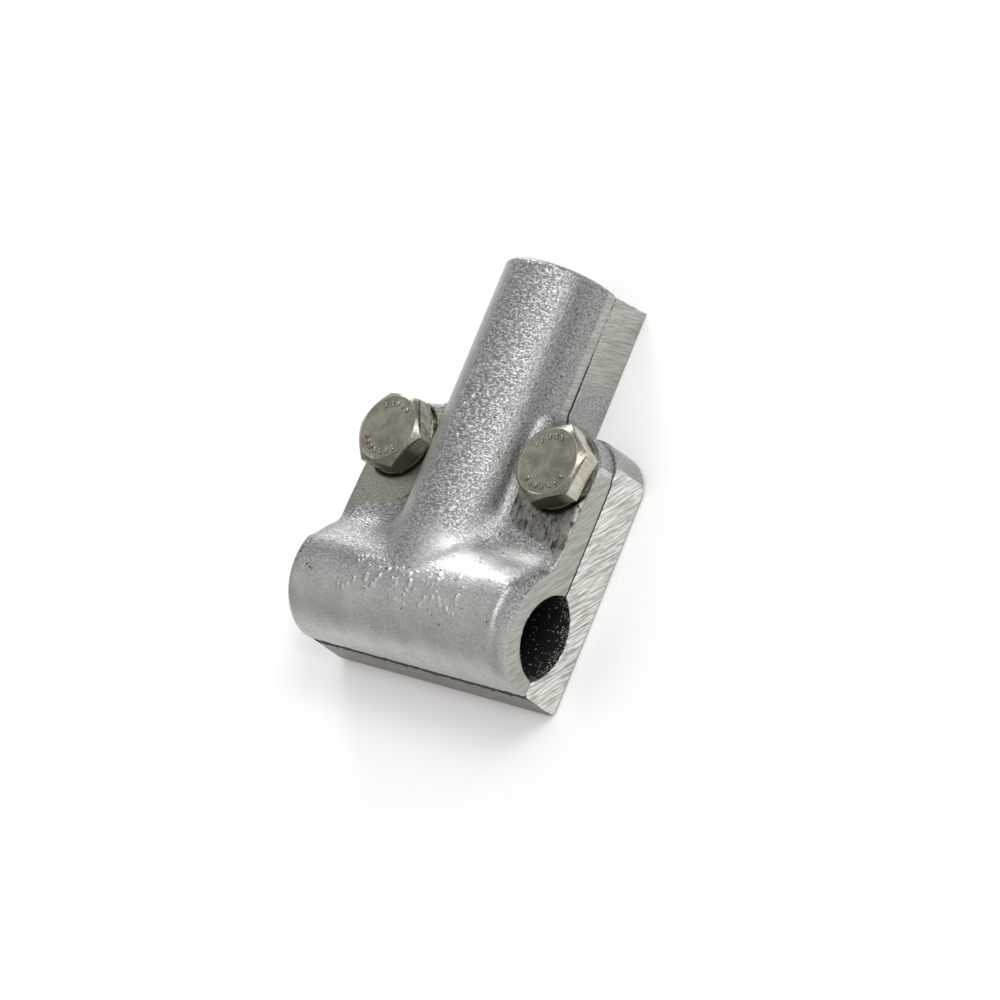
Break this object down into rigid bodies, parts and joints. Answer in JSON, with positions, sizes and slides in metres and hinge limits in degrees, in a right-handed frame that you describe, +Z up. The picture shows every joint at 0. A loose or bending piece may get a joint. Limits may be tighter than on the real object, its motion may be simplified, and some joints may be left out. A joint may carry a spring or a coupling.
{
  "type": "t splice connector",
  "caption": "Cast T clamp that joins a tap conductor at right angles to a run conductor, closed by hexagon bolts through its ears.",
  "frame": {"origin": "where the run and tap conductor axes cross, on the joint between the halves", "axes": "+X along the run conductor, +Y along the tap conductor towards its open mouth, +Z up towards the bolt heads"},
  "size_m": [0.0687, 0.0948, 0.0285],
  "materials": {
    "casting": "fine as-cast grain on the barrels, ground and brushed on the ends and sides",
    "stainless_bolts": "smooth satin stainless steel, slightly brown",
    "stainless_washers": "drawn stainless steel, finely striped round the edge"
  },
  "bodies": {
    "back": {"clamp_half_back": "casting"},
    "front": {"clamp_half_front": "casting", "lock_washer_left": "stainless_washers", "lock_washer_right": "stainless_washers"},
    "left_bolt": {"bolt_left": "stainless_bolts"},
    "right_bolt": {"bolt_right": "stainless_bolts"}
  },
  "joints": [
    {"name": "clamp_open", "type": "slide", "parent": "back", "child": "front", "axis": [0, 0, 1], "range_m": [0, 0.006]},
    {"name": "left_bolt_turn", "type": "hinge", "parent": "front", "child": "left_bolt", "pos_m": [-0.0249, 0.0355, 0], "axis": [0, 0, 1], "range_deg": [0, 1440]},
    {"name": "right_bolt_turn", "type": "hinge", "parent": "front", "child": "right_bolt", "pos_m": [0.0249, 0.0355, 0], "axis": [0, 0, 1], "range_deg": [0, 1440]}
  ],
  "couplings": [
    {"joint": "left_bolt_turn", "follows": "clamp_open", "rad_per_m": 4188.8},
    {"joint": "right_bolt_turn", "follows": "clamp_open", "rad_per_m": 4188.8}
  ]
}
